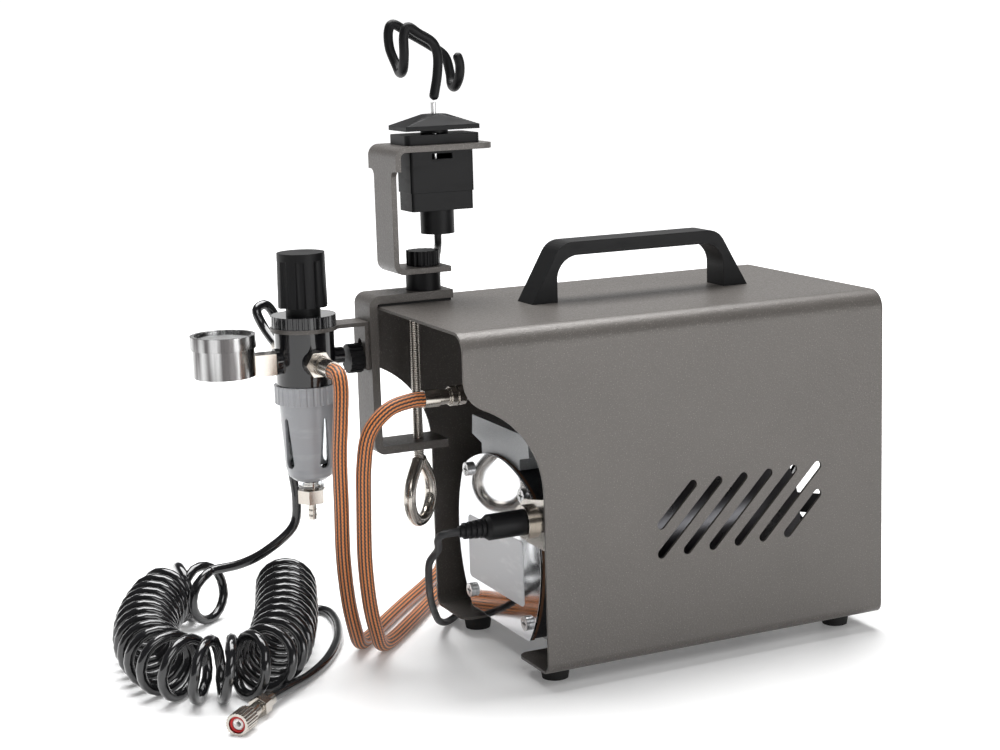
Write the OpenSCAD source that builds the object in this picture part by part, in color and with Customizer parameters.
// Airbrush compressor: a bent sheet case with the pump inside, a clamp with an
// airbrush hanger switch, and a regulator with its braided and coiled hoses.
// Units are millimetres. +Z is up, the origin is on the floor under the middle of
// the rigid parts, +X runs along the case from its open end, -Y is the vented side.

/* [Case] */
// Length of the case from the open end of its top
case_len = 250; // [240:1:262]
// Width of the case between its two side panels
case_w = 145; // [143:1:150]
// Height of the case without its feet
case_h = 182; // [180:1:186]
// Thickness of the case sheet
sheet = 1.5; // [1:0.1:2]
// Height of the rubber feet
foot_h = 9.5; // [8:0.5:14]
// Turn of the clamp's eye about its rod, degrees
eye_turn = 43; // [0:1:180]

/* [Vent slots] */
// Number of slanted slots in the side panel
slot_count = 7; // [5:1:8]
// Width of each slot
slot_w = 5; // [4:0.5:6]
// Distance from one slot to the next
slot_pitch = 15.65; // [14:0.05:16]

/* [Hoses] */
// Diameter of the braided supply hose
supply_d = 8; // [7:0.5:8.5]
// Diameter of the black coil hose
coil_tube_d = 5.5; // [5:0.5:6]
// Outer diameter of the coil
coil_d = 36; // [32:1:38]
// Diameter of the lead from the hanger switch
lead_d = 4; // [3.5:0.5:4.5]

/* [Hidden] */
$fn = 64;

// Case
top_bend = 10;
lip_bend = 6;
lip_w = 38;
lip_corner = 6;
scut_depth = 42.5;
scut_low_r = 52;
scut_low_z = 95;
scut_high_r = 18;
foot_inset = 15;
foot_in = 23.5;
foot_x = [scut_depth + foot_inset, case_len - foot_inset];
foot_y = [foot_in, case_w - foot_in];
slot_low = [110, 55.2];
slot_rise = 34.8;

// Screws
screw_r = 1.95;
screw_hole_r = 2.05;
screw_head = [3.9, 2.4];
tray_x = [66, 215];
tray_y = [8, case_w - 8];
tray_z = [sheet, 3.5];
tray_screw_x = [75, 205];

// Handle
handle_y = [66.5, 84.5];
handle_mid_y = (handle_y[0] + handle_y[1]) / 2;
handle_arc_x = [95.5, 180.5];
handle_arc_r = 11;
handle_top = case_h + 32;
handle_opening_x = [86, 190];
handle_opening_r = 12.7;
handle_opening_top = case_h + 24.7;
handle_lean = 30;
handle_screw_x = [80.5, 195.5];

// Pump and motor
pump_y = 74.5;
pump_z = 51.5;
plate_x = 50;
plate_t = 1.2;
gasket_t = 1.8;
side_arc_r = 72;
side_arc_shift = 20;
top_arc_r = 76;
top_arc_z = 24.5;
plate_bottom = 6.5;
plate_corner = 10;
plate_flat = 34.5;
plate_screw = [35.3, 34.8];
housing_x = plate_x + plate_t + gasket_t;
housing_len = 45;
chamber_r = 42;
chamber_len = 37;
pad_half = 22;
pad_top = 101;
crank_throw = 3;
crank_pin_r = 5;
rod_len = 33.5;
cylinder_x = 76;
cylinder_top = 104;
bore_r = 16.04;
piston_r = 16;
piston_z = [86.5, 100.4];
head_top = 113;
port = [62, 60];
motor_x = housing_x + housing_len;
motor_len = 120;
motor_r = 42;
shaft_r = 4;
fan_x = 222;
fan_r = 42;
fan_blades = 9;
shroud_top = 117;
outlet_z = 139.5;

// Socket and plug
socket_y = 21;
socket_z = 77.6;
bracket_x = 43;
bracket_t = 1.5;

// Clamp
clamp_y = 121.5;
clamp_w = 23;
clamp_t = 4.5;
pad_t = 1.3;
jaw_z = case_h + pad_t;
spine_x = -5;
low_jaw_z = 100.5;
clamp_bend = 6;
rod_x_pos = 25;
rod_r = 3;
eye_z = 72.6;
eye_r = 14.5;
eye_wire_r = 3.5;

// Hanger and switch
pivot_x = 31.4;
stud_r = 2.95;
boss_top = jaw_z + clamp_t + 9.8;
hanger_t = 3;
hanger_x = 9.8;
hanger_z = boss_top + 0.3;
hanger_top = 267;
hanger_w = 25;
hanger_wide = 40;
box_x = 41;
box_size = [37, 20];
bezel_size = [43.5, 25];
plunger_r = 1.5;

// Regulator
reg_x = -38.5;
reg_y = clamp_y;
port_z = 156;
port_reach = 17.5;
body_r = 16;
body_z = [142.8, 171.8];
bracket_sheet = 2.1;
bracket_top = body_z[1] + bracket_sheet;
lobe_r = 18;
stud2_r = 2.45;
knob_screw_z = 153.5;
neck_r = 9.25;
gauge_x = -83.5;
gauge_r = 16.25;
gauge_bezel_r = 17.2;
gauge_z = [151.3, 166.4, 173.4];
dial_z = 163;
window_first = 18;
window_count = 4;

// The origin is under the middle of the rigid parts' overall box
fitting_len = 26;
origin_x = (gauge_x - gauge_bezel_r + case_len) / 2;
origin_y = (reg_y + port_reach + fitting_len) / 2;
case_origin = [-origin_x, -origin_y, foot_h];

// Small overlap that joins two shapes of one piece
eps = 0.05;

// Routes of the soft pieces, each from one end to the other
lead_route = [[box_x, clamp_y, 217.7], [box_x, clamp_y, 214.5], [42, 124, 211.5], [45, 132, 207],
    [48, 141, 201], [51, 148, 192], [52, 151, 178], [53, 151.5, 150], [54, 151.5, 110],
    [55, 151.5, 70], [56, 151.5, 35], [57, 152, 10], [57, 151, -3], [55, 145, -7.4],
    [49, 137, -7.4], [40, 128, -6], [32, 118, -1], [26, 108, 6], [20, 98, 15], [13, 84, 26],
    [6, 68, 38], [0, 52, 54], [0, 40, 64], [-4, 30, 72], [-5, 23, 76.5], [-1, 21, 77.6],
    [4, socket_y, socket_z]];
supply_route = [[3, 60, outlet_z], [-4, 60, 139.5], [-16, 61, 136], [-26, 63, 125],
    [-29, 65, 108], [-29, 68, 85], [-27, 75, 55], [-22, 84, 28], [-16, 92, 9], [-10, 101, -2],
    [0, 112, -5.5], [22, 137, -5.5], [44, 163, -5.5], [62, 184, -5.5], [84, 203, -5.5],
    [112, 216, -5.5], [142, 228, -5.5], [160, 250, -5.5], [152, 276, -5.5], [128, 288, -5.5],
    [106, 276, -5.5], [92, 250, -5.5], [76, 221, -5.5], [56, 197, -5.5], [36, 175, -5.5],
    [14, 150, -5.5], [-8, 124, -5.5], [-18, 112, -3], [-24, 103, 8], [-30, 95, 28],
    [-35, 86, 55], [-38, 77, 85], [-40, 71, 112], [-40, 67, 132], [-39, 67, 148],
    [-38.5, 71, 155], [-38.5, 78, port_z]];
feed_route = [[reg_x, 165, port_z], [reg_x, 171, 157], [-41, 183, 165], [-43, 188, 174],
    [-36, 191, 176], [-30, 192, 165], [-29, 191, 140], [-29, 189, 110], [-27, 188, 82],
    [-25, 188, 62], [-28, 188, 46], [-44, 189, 34], [-58, 194, 27], [-67, 199, 23.5], [-74, 205, 23]];
coil_route = [[-72, 201, 8.5], [-82, 216, 8.5], [-98, 213, 8.5], [-112, 190, 8.5],
    [-124, 160, 8.5], [-131, 128, 8.5], [-130, 100, 8.5], [-120, 82, 8.5], [-103, 73, 8.5],
    [-86, 76, 8.5], [-71, 94, 8.5], [-58, 122, 8.5], [-47, 150, 8.5], [-38, 176, 8.5],
    [-30, 200, 8.5]];
tail_route = [[-31, 200, -6.7], [-20, 198, -6.7], [-12, 188, -6.7], [-12, 168, -6.7],
    [-19, 144, -6.7], [-29, 122, -6.7], [-43, 100, -6.7], [-59, 82, -6.5], [-75, 67, -5],
    [-90, 53, -3.7]];
tail_end = tail_route[len(tail_route) - 1];
tail_turn = -133;
hook_route = [[box_x, clamp_y, 290], [42, 121.5, 294], [44, 121.5, 304], [44.5, 121.5, 314],
    [42, 122, 321], [34, 122, 326], [28, 122, 329.5], [25.5, 122, 325], [25.5, 122.5, 315],
    [26, 126, 307], [27, 133, 305], [27.5, 139, 309], [26, 144, 318], [26, 145, 327],
    [29, 145, 331], [38, 145, 326], [50, 144, 319], [58, 143, 313], [60, 141, 304],
    [59, 137, 297.5], [58.5, 131, 296.5], [59, 126, 302], [59, 125, 309], [57, 125, 315]];

// ---- Helpers ----

// Moves a piece from the case's lower front corner to the origin on the floor
module place() {
    translate(case_origin) children();
}

// A cylinder along X, from x to x + length
module rod_x(x, y, z, r, length) {
    translate([x, y, z]) rotate([0, 90, 0]) cylinder(r = r, h = length);
}

// A cylinder along Y, from y to y + length
module rod_y(x, y, z, r, length) {
    translate([x, y + length, z]) rotate([90, 0, 0]) cylinder(r = r, h = length);
}

// A cylinder along Z, from z to z + length
module rod_z(x, y, z, r, length) {
    translate([x, y, z]) cylinder(r = r, h = length);
}

// An outline drawn in Y and Z, stretched along X
module along_x(x, length) {
    translate([x, 0, 0]) rotate([90, 0, 90]) linear_extrude(length) children();
}

// An outline drawn in X and Z, stretched along Y
module along_y(y, length) {
    translate([0, y + length, 0]) rotate([90, 0, 0]) linear_extrude(length) children();
}

// A rectangle with round corners, centred on the origin
module round_rect(w, d, r) {
    square([w - 2 * r, d], center = true);
    square([w, d - 2 * r], center = true);
    for (sx = [-1, 1], sy = [-1, 1])
        translate([sx * (w / 2 - r), sy * (d / 2 - r)]) circle(r);
}

// A quarter of a ring in the quadrant where both coordinates are negative
module quarter_ring(r, t) {
    intersection() {
        difference() {
            circle(r);
            circle(r - t);
        }
        translate([-r, -r]) square(r);
    }
}

// One point on a smooth curve through four neighbouring route points
function between(a, b, c, d, t) =
    0.5 * (2 * b + (c - a) * t + (2 * a - 5 * b + 4 * c - d) * t * t
        + (3 * b - a - 3 * c + d) * t * t * t);

// A route made smooth, with the given number of steps between its points
function smooth(route, steps) = [
    for (i = [0 : len(route) - 2], k = [0 : steps - 1])
        between(route[max(i - 1, 0)], route[i], route[i + 1],
            route[min(i + 2, len(route) - 1)], k / steps),
    route[len(route) - 1]];

function unit(v) = v / norm(v);

// Direction of a path at one of its points
function heading(path, i) =
    unit(path[min(i + 1, len(path) - 1)] - path[max(i - 1, 0)]);

// A side vector at each point, turned as little as possible from the one before
function sides_along(path, i, last) =
    let (side = unit(last - (last * heading(path, i)) * heading(path, i)))
    i == len(path) - 1 ? [side] : concat([side], sides_along(path, i + 1, side));

// A closed round tube along a smooth path
module tube(path, d, facets) {
    first = cross(heading(path, 0), [0.3, 0.5, 0.81]);
    side = sides_along(path, 0, unit(first));
    rings = len(path);
    points = [
        for (i = [0 : rings - 1], k = [0 : facets - 1])
            let (other = cross(heading(path, i), side[i]), a = 360 * k / facets)
            path[i] + d / 2 * (cos(a) * side[i] + sin(a) * other)];
    walls = [
        for (i = [0 : rings - 2], k = [0 : facets - 1])
            let (n = (k + 1) % facets)
            [i * facets + k, (i + 1) * facets + k, (i + 1) * facets + n, i * facets + n]];
    ends = [
        [for (k = [0 : facets - 1]) k],
        [for (k = [facets - 1 : -1 : 0]) (rings - 1) * facets + k]];
    polyhedron(points, concat(walls, ends));
}

// ---- Case ----

// Half of the shell's cross-section, in Y and Z
module shell_half() {
    translate([top_bend, case_h - sheet]) square([case_w / 2 - top_bend, sheet]);
    translate([top_bend, case_h - top_bend]) mirror([0, 1]) quarter_ring(top_bend, sheet);
    translate([0, lip_bend]) square([sheet, case_h - top_bend - lip_bend]);
    translate([lip_bend, lip_bend]) quarter_ring(lip_bend, sheet);
    translate([lip_bend, 0]) square([lip_w - lip_bend, sheet]);
}

// The S-shaped piece cut away from the open end of both side panels
module scut_shape() {
    low = [scut_depth - scut_low_r, scut_low_z];
    reach = scut_low_r + scut_high_r;
    rise = sqrt(reach * reach - pow(scut_high_r - low[0], 2));
    high = [scut_high_r, scut_low_z + rise];
    meet = low + (high - low) * scut_low_r / reach;
    translate([-scut_high_r, -1]) square([scut_high_r + scut_depth, scut_low_z + 1]);
    difference() {
        translate([-scut_high_r, scut_low_z])
            square([scut_high_r + meet[0], high[1] - scut_low_z]);
        translate(high) circle(scut_high_r);
    }
    intersection() {
        translate(low) circle(scut_low_r);
        translate([-scut_high_r, scut_low_z])
            square([scut_high_r + scut_depth, scut_low_r]);
    }
}

// One 45 degree slot from a lower to an upper end, both ends round
module slot_shape(i) {
    skip_low = i == 0 ? slot_pitch : 0;
    skip_high = i == slot_count - 1 ? slot_pitch : 0;
    x = slot_low[0] + (i - 1) * slot_pitch;
    a = [x + skip_low, slot_low[1] + skip_low];
    b = [x + slot_rise - skip_high, slot_low[1] + slot_rise - skip_high];
    translate(a) circle(slot_w / 2);
    translate(b) circle(slot_w / 2);
    translate(a) rotate(45) translate([0, -slot_w / 2]) square([norm(b - a), slot_w]);
}

// Cuts the corner of a lip to a round one; sx and sy point out of the corner
module lip_corner_cut(x, y, sx, sy) {
    translate([x, y, -1]) scale([sx, sy, 1]) linear_extrude(sheet + 2) difference() {
        translate([-lip_corner, -lip_corner]) square(lip_corner + 1);
        translate([-lip_corner, -lip_corner]) circle(lip_corner);
    }
}

module case_shell() {
    color([0.50, 0.47, 0.44]) difference() {
        along_x(0, case_len) {
            shell_half();
            translate([case_w, 0]) mirror([1, 0]) shell_half();
        }
        along_y(-1, case_w + 2) scut_shape();
        along_y(-1, sheet + 2) for (i = [0 : slot_count - 1]) slot_shape(i);
        for (x = foot_x, y = foot_y) rod_z(x, y, -1, screw_hole_r, sheet + 2);
        for (x = tray_screw_x, y = foot_y) rod_z(x, y, -1, screw_hole_r, sheet + 2);
        for (x = handle_screw_x)
            rod_z(x, handle_mid_y, case_h - sheet - 1, screw_hole_r, sheet + 2);
        lip_corner_cut(scut_depth, lip_w, -1, 1);
        lip_corner_cut(scut_depth, case_w - lip_w, -1, -1);
        lip_corner_cut(case_len, lip_w, 1, 1);
        lip_corner_cut(case_len, case_w - lip_w, 1, -1);
    }
}

// The bail handle: two leaning feet and a straight grip, open underneath
module handle() {
    arc_z = handle_top - handle_arc_r;
    lean_out = handle_arc_r * cos(handle_lean);
    lean_up = handle_arc_r * sin(handle_lean);
    foot_out = lean_out + (arc_z + lean_up - case_h) * tan(handle_lean);
    grip_z = handle_opening_top - handle_opening_r;
    open_x = [handle_opening_x[0] + handle_opening_r, handle_opening_x[1] - handle_opening_r];
    turns = [for (i = [0 : 6]) 180 - handle_lean + i * (handle_lean - 90) / 6];
    color([0.11, 0.11, 0.12]) difference() {
        along_y(handle_y[0], handle_y[1] - handle_y[0]) difference() {
            polygon(concat(
                [[handle_arc_x[0] - foot_out, case_h]],
                [for (a = turns) [handle_arc_x[0], arc_z] + handle_arc_r * [cos(a), sin(a)]],
                [for (i = [6 : -1 : 0])
                    [handle_arc_x[1], arc_z] + handle_arc_r * [-cos(turns[i]), sin(turns[i])]],
                [[handle_arc_x[1] + foot_out, case_h]]));
            translate([handle_opening_x[0], case_h - 1])
                square([handle_opening_x[1] - handle_opening_x[0], grip_z - case_h + 1]);
            translate([open_x[0], grip_z]) square([open_x[1] - open_x[0], handle_opening_r]);
            for (x = open_x) translate([x, grip_z]) circle(handle_opening_r);
        }
        for (x = handle_screw_x) rod_z(x, handle_mid_y, case_h - 1, screw_hole_r, 10);
    }
}

// A pan-head screw pointing up, with a nut at nut_z when nut is true
module screw_up(x, y, seat_z, length, nut_z) {
    rod_z(x, y, seat_z - screw_head[1], screw_head[0], screw_head[1]);
    rod_z(x, y, seat_z - eps, screw_r, length + eps);
    if (nut_z > seat_z) translate([x, y, nut_z]) cylinder(r = 4, h = 3.2, $fn = 6);
}

module case_screws() {
    foot_seat = -foot_h + 5;
    color("silver") {
        for (x = foot_x, y = foot_y) screw_up(x, y, foot_seat, 10.5, sheet);
        for (x = tray_screw_x, y = foot_y) screw_up(x, y, 0, 8, tray_z[1]);
        for (x = handle_screw_x) screw_up(x, handle_mid_y, case_h - sheet, 9, 0);
    }
}

module rubber_feet() {
    color([0.09, 0.09, 0.10]) for (x = foot_x, y = foot_y) difference() {
        translate([x, y, -foot_h]) cylinder(r1 = 7, r2 = 8.5, h = foot_h);
        rod_z(x, y, -foot_h - 1, screw_hole_r, foot_h + 2);
        rod_z(x, y, -foot_h - 1, 4.3, 6);
    }
}

// The tray that carries the pump and the motor inside the case
module chassis_tray() {
    color("dimgray") difference() {
        union() {
            translate([tray_x[0], tray_y[0], tray_z[0]])
                cube([tray_x[1] - tray_x[0], tray_y[1] - tray_y[0], tray_z[1] - tray_z[0]]);
            translate([tray_x[0], 48, tray_z[1] - eps])
                cube([28, 53, plate_bottom + 1 - tray_z[1] + eps]);
            translate([150, 52, tray_z[1] - eps]) cube([15, 45, 22]);
        }
        rod_x(140, pump_y, pump_z, motor_r + 0.02, 40);
        for (x = tray_screw_x, y = foot_y) rod_z(x, y, 0, screw_hole_r, 5);
    }
}

// ---- Pump ----

// The outline of the pump's end plate, in Y and Z, drawn in by inset all round
module pump_outline(inset) {
    corner_z = plate_bottom + plate_corner;
    intersection() {
        translate([pump_y - side_arc_shift, pump_z]) circle(side_arc_r - inset);
        translate([pump_y + side_arc_shift, pump_z]) circle(side_arc_r - inset);
        translate([pump_y, top_arc_z]) circle(top_arc_r - inset);
        union() {
            translate([pump_y - side_arc_r, corner_z]) square([2 * side_arc_r, top_arc_r + 20]);
            translate([pump_y - plate_flat, plate_bottom + inset])
                square([2 * plate_flat, plate_corner]);
            for (s = [-1, 1]) translate([pump_y + s * plate_flat, corner_z])
                circle(plate_corner - inset);
        }
    }
}

// Holes for the four end-plate screws
module plate_holes(x, length) {
    for (sy = [-1, 1], sz = [-1, 1])
        rod_x(x, pump_y + sy * plate_screw[0], pump_z + sz * plate_screw[1],
            screw_hole_r, length);
}

module end_plate() {
    color([0.80, 0.81, 0.83]) difference() {
        along_x(plate_x, plate_t) pump_outline(0);
        plate_holes(plate_x - 1, plate_t + 2);
    }
}

module end_gasket() {
    color([0.42, 0.30, 0.22]) difference() {
        along_x(plate_x + plate_t, gasket_t) pump_outline(0.3);
        plate_holes(plate_x, 5);
        rod_x(plate_x, pump_y, pump_z, chamber_r - 1, 5);
    }
}

module plate_screws() {
    color("silver") for (sy = [-1, 1], sz = [-1, 1]) {
        y = pump_y + sy * plate_screw[0];
        z = pump_z + sz * plate_screw[1];
        difference() {
            rod_x(plate_x - screw_head[1], y, z, screw_head[0], screw_head[1]);
            translate([plate_x - screw_head[1] - 1, y - 0.5, z - 2.4]) cube([2, 1, 4.8]);
            translate([plate_x - screw_head[1] - 1, y - 2.4, z - 0.5]) cube([2, 4.8, 1]);
        }
        rod_x(plate_x - eps, y, z, screw_r, 12);
    }
}

module pump_housing() {
    color([0.25, 0.26, 0.28]) difference() {
        union() {
            along_x(housing_x, housing_len) pump_outline(1);
            translate([housing_x + 2, pump_y - pad_half, 85])
                cube([housing_len - 2, 2 * pad_half, pad_top - 85]);
        }
        rod_x(housing_x - 1, pump_y, pump_z, chamber_r, chamber_len + 1);
        rod_x(housing_x, pump_y, pump_z, shaft_r + 0.05, housing_len + 1);
        rod_z(cylinder_x, pump_y, 70, 18, 40);
        plate_holes(housing_x - 1, 13);
    }
}

module pump_cylinder() {
    color("lightgray") difference() {
        union() {
            rod_z(cylinder_x, pump_y, 80, 18, cylinder_top - 80);
            rod_z(cylinder_x, pump_y, pad_top, 20.5, cylinder_top - pad_top);
        }
        rod_z(cylinder_x, pump_y, 79, bore_r, 30);
    }
}

module cylinder_head() {
    color("silver") difference() {
        translate([cylinder_x, pump_y, cylinder_top]) linear_extrude(head_top - cylinder_top)
            round_rect(40, 44, 6);
        rod_z(cylinder_x, pump_y, cylinder_top - 1, 14, 5);
        rod_z(port[0], port[1], cylinder_top + 5, 3.05, 10);
        translate([port[0], port[1], cylinder_top + 3])
            rotate([0, 90, atan2(pump_y - port[1], cylinder_x - port[0])])
                cylinder(r = 1.5, h = 12);
        rod_z(port[0], port[1], cylinder_top + 2, 1.5, 5);
        for (y = [pump_y - 6 : 8 : pump_y + 18])
            translate([cylinder_x - 25, y - 1, head_top - 3]) cube([50, 2, 4]);
    }
}

// The cover's outline above the pump, in Y and Z, drawn in by t
module shroud_outline(t, bottom) {
    polygon([[40 + t, shroud_top - t], [110 - t, shroud_top - t], [111 - t, 106 + t],
        [98.5 - t, 103 + t], [98.5 - t, bottom], [50.5 + t, bottom], [50.5 + t, 103 + t],
        [39 + t, 106 + t]]);
}

module head_shroud() {
    wall = 1.5;
    color([0.55, 0.56, 0.57]) difference() {
        along_x(housing_x, housing_len) difference() {
            shroud_outline(0, 97);
            pump_outline(0.9);
        }
        along_x(housing_x + wall, housing_len) shroud_outline(wall, 90);
        rod_z(port[0], port[1], shroud_top - 4, 3.3, 8);
    }
}

module piston() {
    color("silver") difference() {
        rod_z(cylinder_x, pump_y, piston_z[0], piston_r, piston_z[1] - piston_z[0]);
        rod_z(cylinder_x, pump_y, piston_z[0] - 1, 13, 11);
    }
}

// The rod from the crank pin up to the pin inside the piston
module connecting_rod() {
    y = pump_y + crank_throw;
    z = pump_z + rod_len;
    color("lightgray") difference() {
        union() {
            rod_x(72, y, pump_z, 10, 8);
            translate([73.5, y - 3.5, pump_z + 6]) cube([5, 7, rod_len - 8]);
            rod_x(72, y, z, 4.5, 8);
            rod_x(cylinder_x - 9, y, z, 2.5, 18);
        }
        rod_x(71, y, pump_z, crank_pin_r + 0.05, 10);
    }
}

module crankshaft() {
    y = pump_y + crank_throw;
    color("gainsboro") {
        rod_x(68, y, pump_z, 6.5, 2);
        rod_x(70 - eps, y, pump_z, crank_pin_r, 12 + 2 * eps);
        rod_x(82, pump_y, pump_z, 15, 6);
        rod_x(88 - eps, pump_y, pump_z, shaft_r, fan_x - 76 + eps);
    }
}

module armature() {
    color([0.62, 0.36, 0.20]) difference() {
        union() {
            rod_x(motor_x + 16, pump_y, pump_z, 34, motor_len - 36);
            rod_x(motor_x + 10, pump_y, pump_z, 18, motor_len - 22);
        }
        rod_x(motor_x + 2, pump_y, pump_z, shaft_r, motor_len);
    }
}

module motor_can() {
    color([0.35, 0.35, 0.37]) difference() {
        rod_x(motor_x, pump_y, pump_z, motor_r, motor_len);
        rod_x(motor_x + 2, pump_y, pump_z, motor_r - 2, motor_len - 4);
        rod_x(motor_x - 1, pump_y, pump_z, shaft_r + 0.08, motor_len + 2);
    }
}

// Hub and slanted blades on the far end of the shaft
module cooling_fan() {
    color([0.18, 0.18, 0.20]) difference() {
        union() {
            rod_x(fan_x, pump_y, pump_z, 10, 14);
            for (i = [0 : fan_blades - 1])
                translate([fan_x + 7, pump_y, pump_z]) rotate([i * 360 / fan_blades, 0, 0])
                    rotate([0, 0, 35]) translate([-7, -0.8, 8]) cube([14, 1.6, fan_r - 9]);
        }
        rod_x(fan_x - 1, pump_y, pump_z, shaft_r, 13);
    }
}

// The pipe's hollow section
module pipe_section() {
    difference() {
        circle(3);
        circle(1.8);
    }
}

// The pipe from the head, up and round to the open end of the case
module outlet_pipe() {
    bend = 8;
    low = cylinder_top + 5;
    top = outlet_z - bend;
    color("silver") {
        translate([port[0], port[1], low]) linear_extrude(top - low) pipe_section();
        translate([port[0] - bend, port[1], top]) rotate([90, 0, 0])
            rotate_extrude(angle = 90) translate([bend, 0]) pipe_section();
        translate([26, port[1], outlet_z]) rotate([0, 90, 0])
            linear_extrude(port[0] - bend - 26) pipe_section();
    }
}

// ---- Socket ----

module socket_bracket() {
    low = 66;
    color("silver") difference() {
        union() {
            along_x(bracket_x, bracket_t) {
                polygon([[sheet, low], [socket_y, low], [socket_y, 89.2], [sheet, 93]]);
                translate([socket_y, socket_z]) circle(11.6);
            }
            translate([bracket_x, sheet, low]) cube([12, bracket_t, 27]);
        }
        rod_x(bracket_x - 1, socket_y, socket_z, 5.6, 4);
    }
}

module dc_socket() {
    color("gainsboro") difference() {
        union() {
            rod_x(39.5, socket_y, socket_z, 8.9, 3.5);
            rod_x(43 - eps, socket_y, socket_z, 5.5, 13);
        }
        rod_x(38, socket_y, socket_z, 6.9, 3);
        rod_x(40, socket_y, socket_z, 2.8, 12);
    }
}

module dc_plug() {
    color([0.10, 0.10, 0.11]) difference() {
        union() {
            rod_x(20, socket_y, socket_z, 6.75, 21);
            translate([18, socket_y, socket_z]) rotate([0, 90, 0])
                cylinder(r1 = 5.4, r2 = 6.75, h = 2 + eps);
            translate([4, socket_y, socket_z]) rotate([0, 90, 0])
                cylinder(r1 = 3, r2 = 4, h = 14 + eps);
            for (i = [0 : 3]) rod_x(6.5 + 3 * i, socket_y, socket_z, 4.2 + 0.25 * i, 1.6);
            rod_x(41 - eps, socket_y, socket_z, 2.7, 9);
        }
        rod_x(42, socket_y, socket_z, 1.3, 9);
    }
}

// ---- Clamp ----

// The clamp's C-shaped strip, in X and Z
module clamp_outline() {
    top = jaw_z + clamp_t;
    translate([spine_x + clamp_bend, top - clamp_bend]) mirror([0, 1])
        quarter_ring(clamp_bend, clamp_t);
    translate([spine_x + clamp_bend, low_jaw_z + clamp_bend]) quarter_ring(clamp_bend, clamp_t);
    translate([spine_x, low_jaw_z + clamp_bend])
        square([clamp_t, top - low_jaw_z - 2 * clamp_bend]);
    translate([spine_x + clamp_bend, jaw_z]) square([43, clamp_t]);
    translate([spine_x + clamp_bend, low_jaw_z]) square([37, clamp_t]);
}

module clamp_frame() {
    color([0.50, 0.47, 0.44]) difference() {
        along_y(clamp_y - clamp_w / 2, clamp_w) clamp_outline();
        rod_z(rod_x_pos, clamp_y, low_jaw_z - 1, rod_r + 0.05, clamp_t + 2);
        rod_z(pivot_x, clamp_y, jaw_z - 1, stud_r, clamp_t + 2);
        rod_x(spine_x - 1, clamp_y, knob_screw_z, stud2_r, clamp_t + 2);
    }
}

module jaw_pad() {
    color([0.09, 0.09, 0.10]) translate([1, clamp_y - 10.5, case_h]) cube([42, 21, pad_t]);
}

// The threaded rod with the ring that turns it
module eye_bolt() {
    color([0.72, 0.70, 0.66]) {
        rod_z(rod_x_pos, clamp_y, 89, rod_r, 87.5);
        rod_z(rod_x_pos, clamp_y, eye_z + eye_r, 4.5, 5);
        translate([rod_x_pos, clamp_y, eye_z]) rotate([90, 0, eye_turn])
            rotate_extrude() translate([eye_r, 0]) circle(eye_wire_r);
    }
}

module clamp_pad() {
    color([0.72, 0.70, 0.66]) difference() {
        union() {
            rod_z(rod_x_pos, clamp_y, 177, 7, 3.2);
            rod_z(rod_x_pos, clamp_y, 172.5, 5, 4.5 + eps);
        }
        rod_z(rod_x_pos, clamp_y, 171, rod_r + 0.05, 5.7);
    }
}

module thumb_studs() {
    color("silver") {
        rod_z(pivot_x, clamp_y, jaw_z + 0.4, stud_r, 21.3);
        rod_x(-13.5, clamp_y, knob_screw_z, stud2_r, 12.7);
    }
}

module hanger_boss() {
    color([0.10, 0.10, 0.11]) difference() {
        rod_z(pivot_x, clamp_y, jaw_z + clamp_t, 9.5, boss_top - jaw_z - clamp_t);
        rod_z(pivot_x, clamp_y, jaw_z, stud_r, 20);
    }
}

// A grip cylinder along +Z with round flutes cut into its side
module fluted(r, h, flutes, flute_r) {
    difference() {
        cylinder(r = r, h = h);
        for (i = [0 : flutes - 1]) rotate(i * 360 / flutes)
            translate([r + flute_r * 0.55, 0, -1]) cylinder(r = flute_r, h = h + 2, $fn = 24);
    }
}

module hanger_knob() {
    base = hanger_z + hanger_t + 0.3;
    color([0.10, 0.10, 0.11]) difference() {
        translate([pivot_x, clamp_y, base]) fluted(9, 8, 16, 1.4);
        rod_z(pivot_x, clamp_y, base - 1, stud_r + 0.1, 5.2);
    }
}

// ---- Hanger ----

// The hanger's bent strip, in X and Z
module hanger_outline() {
    bend = 6;
    translate([hanger_x + bend, hanger_top - bend]) mirror([0, 1]) quarter_ring(bend, hanger_t);
    translate([hanger_x + bend, hanger_z + bend]) quarter_ring(bend, hanger_t);
    translate([hanger_x, hanger_z + bend])
        square([hanger_t, hanger_top - hanger_z - 2 * bend]);
    translate([hanger_x + bend, hanger_top - hanger_t]) square([68 - hanger_x - bend, hanger_t]);
    translate([hanger_x + bend, hanger_z]) square([43 - hanger_x - bend, hanger_t]);
}

// The strip is narrow below and wide above, with a fillet at each side
module hanger_width() {
    wide_z = 254;
    fillet = 4;
    translate([clamp_y - hanger_w / 2, hanger_z - 1]) square([hanger_w, 80]);
    translate([clamp_y - hanger_wide / 2, wide_z]) square([hanger_wide, 20]);
    for (s = [-1, 1]) translate([clamp_y + s * hanger_w / 2, wide_z]) mirror([s < 0 ? 1 : 0, 0])
        difference() {
            translate([-eps, -fillet]) square([fillet + eps, fillet + eps]);
            translate([fillet, -fillet]) circle(fillet);
        }
}

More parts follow.
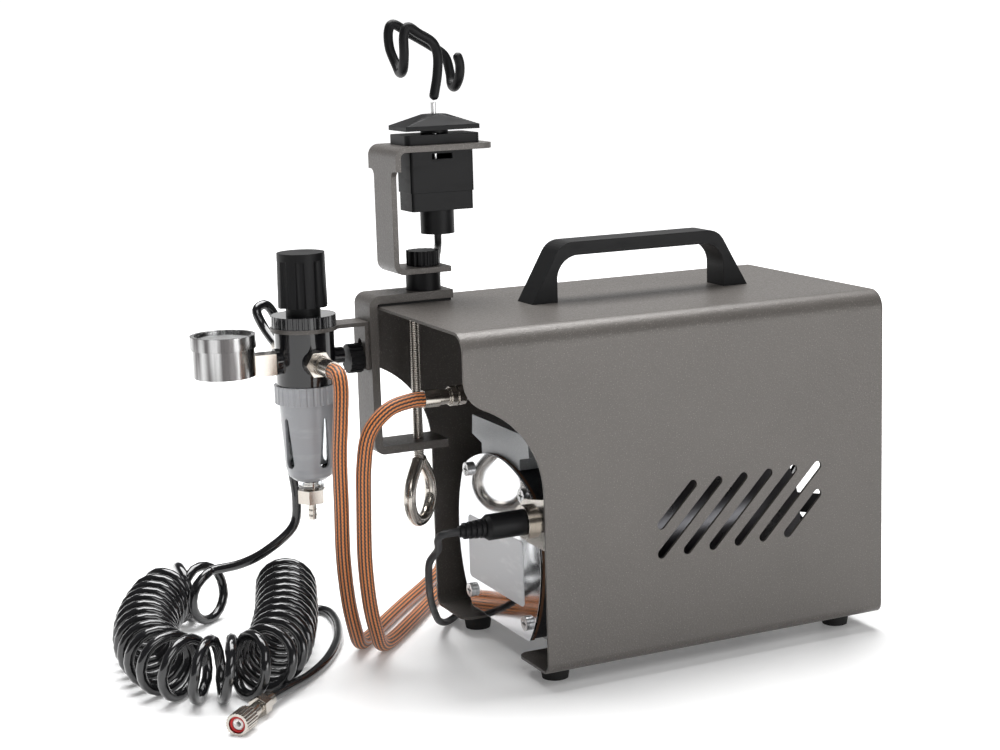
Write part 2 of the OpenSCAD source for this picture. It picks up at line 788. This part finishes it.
module hanger_bracket() {
    color([0.50, 0.47, 0.44]) difference() {
        intersection() {
            along_y(clamp_y - hanger_wide / 2, hanger_wide) hanger_outline();
            along_x(0, 80) hanger_width();
            translate([39 - 60, clamp_y, 190]) linear_extrude(90) {
                translate([48, 0]) round_rect(82, hanger_wide, 7);
                translate([9, 0]) square([70, hanger_wide], center = true);
            }
        }
        rod_z(pivot_x, clamp_y, hanger_z - 1, stud_r + 0.15, hanger_t + 2);
        translate([box_x, clamp_y, hanger_top - hanger_t / 2])
            cube([box_size[0] + 0.4, box_size[1] + 0.4, hanger_t + 2], center = true);
    }
}

module switch_bezel() {
    color([0.13, 0.13, 0.14]) difference() {
        translate([box_x, clamp_y, hanger_top]) linear_extrude(5.3)
            round_rect(bezel_size[0], bezel_size[1], 3);
        rod_z(box_x, clamp_y, hanger_top - 1, 8, 8);
    }
}

// The switch's box hanging through the plate, hollow and open underneath
module switch_body() {
    bottom = 241;
    color([0.13, 0.13, 0.14]) difference() {
        translate([box_x, clamp_y, bottom]) linear_extrude(hanger_top - bottom)
            round_rect(box_size[0], box_size[1], 1.5);
        translate([box_x, clamp_y, bottom - 1]) linear_extrude(24)
            round_rect(box_size[0] - 4, box_size[1] - 4, 1);
        rod_z(box_x, clamp_y, 260, plunger_r + 0.15, 10);
        translate([box_x - 6, clamp_y - box_size[1] / 2 - 1, 259]) cube([12, 4, 3]);
    }
}

module switch_base() {
    bottom = 231;
    color([0.10, 0.10, 0.11]) difference() {
        union() {
            translate([box_x, clamp_y, bottom]) linear_extrude(10)
                round_rect(box_size[0] - 1, box_size[1] - 1, 1.5);
            rod_z(box_x, clamp_y, 218, neck_r, 13 + eps);
        }
        translate([box_x, clamp_y, bottom + 2]) linear_extrude(10)
            round_rect(box_size[0] - 4, box_size[1] - 4, 1);
        rod_z(box_x, clamp_y, 218.5, 3, 20);
    }
}

module micro_switch() {
    color([0.25, 0.25, 0.55]) {
        translate([box_x - 10, clamp_y - 3.2, 233]) cube([20, 6.4, 10.2]);
        rod_z(box_x, clamp_y, 243, 1, 1.4);
    }
}

module plunger() {
    color("gainsboro") {
        rod_z(box_x, clamp_y, 246.6, plunger_r, 42.4);
        rod_z(box_x, clamp_y, 256, 4, 2);
    }
}

// The rest the airbrush's weight presses down: a low pyramid with a neck under it
module hook_cap() {
    color([0.13, 0.13, 0.14]) difference() {
        union() {
            translate([box_x, clamp_y, 274.5]) linear_extrude(2.5)
                square([43, 25], center = true);
            hull() {
                translate([box_x, clamp_y, 276.5]) linear_extrude(0.5)
                    square([43, 25], center = true);
                rod_z(box_x, clamp_y, 282.2, 7, 0.5);
            }
            rod_z(box_x, clamp_y, 272.8, 7.5, 2);
        }
        rod_z(box_x, clamp_y, 270, plunger_r, 20);
    }
}

// The twin hook that cradles the airbrush, free to turn on the plunger
module hook_wire() {
    color([0.08, 0.08, 0.09]) {
        difference() {
            rod_z(box_x, clamp_y, 286, 2.6, 4 + eps);
            rod_z(box_x, clamp_y, 285, plunger_r + 0.1, 4.3);
        }
        tube(smooth(hook_route, 4), 5.2, 12);
    }
}

// ---- Regulator ----

module regulator_bracket() {
    flange_x = spine_x - bracket_sheet;
    color([0.50, 0.47, 0.44]) difference() {
        union() {
            rod_z(reg_x, reg_y, body_z[1], lobe_r, bracket_sheet);
            translate([reg_x, reg_y - 8.5, body_z[1]])
                cube([spine_x - reg_x, 17, bracket_sheet]);
            translate([flange_x, reg_y - 8.5, 147.7]) cube([bracket_sheet, 17, 25]);
        }
        rod_z(reg_x, reg_y, body_z[1] - 1, neck_r + 0.05, 5);
        translate([flange_x - 1, reg_y - stud2_r - 0.2, knob_screw_z])
            cube([5, 2 * stud2_r + 0.4, 8]);
        for (z = [knob_screw_z, knob_screw_z + 8])
            rod_x(flange_x - 1, reg_y, z, stud2_r + 0.2, 5);
    }
}

module bracket_knob() {
    flange_x = spine_x - bracket_sheet;
    color([0.10, 0.10, 0.11]) difference() {
        translate([flange_x - 0.3, reg_y, knob_screw_z]) rotate([0, -90, 0])
            fluted(8, 7.6, 16, 1.3);
        rod_x(-13.8, reg_y, knob_screw_z, stud2_r + 0.1, 10);
    }
}

// The regulator's body with an inlet, an outlet, a gauge port and a blank boss
module regulator_body() {
    color([0.07, 0.07, 0.08]) difference() {
        union() {
            rod_z(reg_x, reg_y, body_z[0], body_r, body_z[1] - body_z[0]);
            rod_y(reg_x, reg_y - port_reach, port_z, 7, 2 * port_reach);
            rod_x(reg_x - port_reach, reg_y, port_z, 7, port_reach);
            rod_x(reg_x, reg_y, port_z, 4.5, port_reach + 3.5);
        }
        rod_z(reg_x, reg_y, 151, 6, 30);
        rod_z(reg_x, reg_y, 140, 2, 20);
        rod_y(reg_x, reg_y - port_reach - 1, port_z, 4, 9);
        rod_y(reg_x, reg_y + port_reach - 8, port_z, 4, 9);
        rod_y(reg_x, reg_y - port_reach, port_z, 1.8, 2 * port_reach);
        rod_x(reg_x - port_reach - 1, reg_y, port_z, 4.9, 6.5);
        rod_x(reg_x - port_reach, reg_y, port_z, 1.8, port_reach);
    }
}

module collar_nut() {
    color([0.10, 0.10, 0.11]) difference() {
        translate([reg_x, reg_y, bracket_top]) fluted(17.35, 6.3, 36, 0.8);
        rod_z(reg_x, reg_y, 170, neck_r, 14);
    }
}

module bonnet() {
    color([0.10, 0.10, 0.11]) difference() {
        rod_z(reg_x, reg_y, body_z[1], neck_r, 31);
        rod_z(reg_x, reg_y, body_z[1] - 1, 6, 26);
        rod_z(reg_x, reg_y, 190, rod_r + 0.05, 20);
    }
}

// The adjusting screw, with a hexagon head the knob slides on
module adjust_screw() {
    color("silver") {
        rod_z(reg_x, reg_y, 186, rod_r, 18);
        translate([reg_x, reg_y, 203.6]) cylinder(r = 4.6, h = 6, $fn = 6);
    }
}

module regulator_knob() {
    color([0.10, 0.10, 0.11]) difference() {
        translate([reg_x, reg_y, 184.4]) difference() {
            cylinder(r1 = 13.3, r2 = 12.75, h = 29.1);
            for (i = [0 : 7]) rotate(22.5 + i * 45) translate([14.5, 0, -1])
                cylinder(r = 3, h = 26, $fn = 24);
        }
        rod_z(reg_x, reg_y, 183, neck_r + 0.45, 20.3);
        translate([reg_x, reg_y, 203]) cylinder(r = 4.9, h = 7.2, $fn = 6);
    }
}

module gauge_can() {
    color("silver") difference() {
        union() {
            rod_z(gauge_x, reg_y, gauge_z[0], gauge_r, gauge_z[1] - gauge_z[0] + eps);
            rod_z(gauge_x, reg_y, gauge_z[1], gauge_bezel_r, gauge_z[2] - gauge_z[1]);
        }
        rod_z(gauge_x, reg_y, dial_z, 15, 12);
        rod_z(gauge_x, reg_y, dial_z - 2, 1, 3);
    }
}

module gauge_dial() {
    color("white") difference() {
        rod_z(gauge_x, reg_y, dial_z, 14.9, 0.8);
        rod_z(gauge_x, reg_y, dial_z - 1, 1, 3);
    }
}

module gauge_pointer() {
    color([0.08, 0.08, 0.08]) {
        rod_z(gauge_x, reg_y, dial_z - 1.5, 0.7, 4);
        rod_z(gauge_x, reg_y, dial_z + 1.3, 1.8, 1.2);
        translate([gauge_x, reg_y, dial_z + 1.5]) rotate(-135)
            linear_extrude(0.7) polygon([[-4.5, -0.8], [-4.5, 0.8], [12, 0.25], [12, -0.25]]);
    }
}

module gauge_glass() {
    color([0.85, 0.90, 0.92, 0.4]) rod_z(gauge_x, reg_y, 170.6, 14.95, 1.5);
}

module gauge_stem() {
    color([0.62, 0.60, 0.55]) difference() {
        union() {
            translate([-68.5, reg_y - 5.5, 149.7]) cube([12.2, 11, 11.5]);
            rod_x(-57, reg_y, port_z, 4.85, 6);
        }
        rod_z(gauge_x, reg_y, 140, gauge_r, 30);
        rod_x(-60, reg_y, port_z, 1.8, 12);
    }
}

module bowl_ring() {
    color([0.55, 0.56, 0.58]) difference() {
        translate([reg_x, reg_y, 132.9]) fluted(17.45, body_z[0] - 132.9, 30, 1);
        rod_z(reg_x, reg_y, 130, 13, 20);
    }
}

// The guard round the bowl, with tall drop-shaped windows
module bowl_guard() {
    color([0.60, 0.61, 0.63]) difference() {
        translate([reg_x, reg_y, 0]) rotate_extrude() difference() {
            guard_profile(0);
            guard_profile(1.5);
            translate([0, 80]) square([7.3, 20]);
        }
        for (i = [0 : window_count - 1])
            translate([reg_x, reg_y, 0]) rotate(window_first + i * 360 / window_count)
                along_x(5, 15) {
                    translate([0, 101]) circle(3.2);
                    translate([0, 124]) circle(1.4);
                    polygon([[-3.2, 101], [3.2, 101], [1.4, 124], [-1.4, 124]]);
                }
    }
}

// Half section of the guard, radius across and height up, drawn in by t
module guard_profile(t) {
    polygon([[0, 90 + t], [8.5 - t / 2, 90 + t], [11.6 - t, 92.4 + t / 2], [13.25 - t, 97.5],
        [15 - t, 132.9 + t / 10], [0, 132.9 + t / 10]]);
}

module clear_bowl() {
    color([0.85, 0.88, 0.90, 0.5]) difference() {
        translate([reg_x, reg_y, 0]) rotate_extrude() difference() {
            bowl_profile(0);
            bowl_profile(1.4);
        }
        rod_z(reg_x, reg_y, 84, 4, 6);
    }
}

// Half section of the bowl, radius across and height up, drawn in by t
module bowl_profile(t) {
    polygon([[0, 86 + t], [7 - t, 86 + t], [7 - t, 93.5 + t], [10.6 - t, 98.5 + t / 2],
        [12.8 - t, body_z[0] + t / 10], [0, body_z[0] + t / 10]]);
}

module drain_nut() {
    color([0.72, 0.70, 0.66]) difference() {
        union() {
            translate([reg_x, reg_y, 77]) cylinder(r = 7.8, h = 7.4, $fn = 6);
            rod_z(reg_x, reg_y, 84, 4, 4.5);
        }
        rod_z(reg_x, reg_y, 76, 1.4, 20);
        rod_z(reg_x, reg_y, 76, 2.4, 4);
    }
}

module drain_pin() {
    color([0.72, 0.70, 0.66]) {
        rod_z(reg_x, reg_y, 67.5, 2.1, 9.5);
        for (z = [68.3, 71.3]) translate([reg_x, reg_y, z])
            cylinder(r1 = 1.8, r2 = 2.4, h = 1.8);
        rod_z(reg_x, reg_y, 76, 1.2, 14);
    }
}

// A hose fitting along +Z from its thread: hexagon, collar and crimped ferrule
module port_fitting() {
    translate([0, 0, -7]) cylinder(r = 3.95, h = 7 + eps);
    cylinder(r = 7.4, h = 5.5, $fn = 6);
    translate([0, 0, 5.5 - eps]) cylinder(r = 5.2, h = 6.5 + eps);
    translate([0, 0, 12 - eps]) cylinder(r = 4, h = 2 + 2 * eps);
    translate([0, 0, 14]) cylinder(r = 4.75, h = fitting_len - 14);
}

module hose_fittings() {
    color([0.75, 0.73, 0.70]) {
        translate([reg_x, reg_y - port_reach, port_z]) rotate([90, 0, 0]) port_fitting();
        translate([reg_x, reg_y + port_reach, port_z]) rotate([-90, 0, 0]) port_fitting();
        rod_x(18, port[1], outlet_z, 5.2, 3.2);
        rod_x(22, port[1], outlet_z, 5.2, 4);
        rod_x(17, port[1], outlet_z, 4.4, 9);
        rod_x(11, port[1], outlet_z, 3.9, 7);
        rod_x(3, port[1], outlet_z, 4.75, 8.5);
    }
}

// ---- Soft pieces ----

module switch_lead() {
    color([0.07, 0.07, 0.08]) tube(smooth(lead_route, 3), lead_d, 8);
}

module supply_hose() {
    color([0.80, 0.45, 0.20]) tube(smooth(supply_route, 2), supply_d, 10);
}

module coil_hose_ends() {
    color([0.06, 0.06, 0.07]) {
        tube(smooth(feed_route, 3), coil_tube_d, 8);
        tube(smooth(tail_route, 3), coil_tube_d, 8);
    }
}

module hose_coil() {
    color([0.06, 0.06, 0.07]) tube(smooth(coil_route, 4), coil_d, 16);
}

// The hexagon insert and the knurled nut that screws on to the airbrush
module airbrush_nut() {
    color([0.78, 0.74, 0.72]) translate(tail_end) rotate([0, 90, tail_turn]) difference() {
        union() {
            cylinder(r = 4, h = 7);
            translate([0, 0, 7 - eps]) cylinder(r = 5.6, h = 7, $fn = 6);
            translate([0, 0, 14 - 2 * eps]) cylinder(r = 3.6, h = 13);
            translate([0, 0, 26]) fluted(6, 12, 24, 0.8);
        }
        translate([0, 0, 30]) cylinder(r = 4.4, h = 10);
        translate([0, 0, 20]) cylinder(r = 1.5, h = 20);
    }
}

// ---- The pieces ----

place() case_shell();
place() handle();
place() case_screws();
place() rubber_feet();
place() chassis_tray();
place() end_plate();
place() end_gasket();
place() plate_screws();
place() pump_housing();
place() pump_cylinder();
place() cylinder_head();
place() head_shroud();
place() piston();
place() connecting_rod();
place() crankshaft();
place() armature();
place() motor_can();
place() cooling_fan();
place() outlet_pipe();
place() socket_bracket();
place() dc_socket();
place() clamp_frame();
place() jaw_pad();
place() eye_bolt();
place() clamp_pad();
place() thumb_studs();
place() hanger_boss();
place() hanger_knob();
place() hanger_bracket();
place() switch_bezel();
place() switch_body();
place() switch_base();
place() micro_switch();
place() plunger();
place() hook_cap();
place() hook_wire();
place() regulator_bracket();
place() bracket_knob();
place() regulator_body();
place() collar_nut();
place() bonnet();
place() regulator_knob();
place() adjust_screw();
place() gauge_can();
place() gauge_dial();
place() gauge_pointer();
place() gauge_glass();
place() gauge_stem();
place() bowl_ring();
place() bowl_guard();
place() clear_bowl();
place() drain_nut();
place() drain_pin();
place() hose_fittings();
place() switch_lead();
place() dc_plug();
place() supply_hose();
place() coil_hose_ends();
place() hose_coil();
place() airbrush_nut();
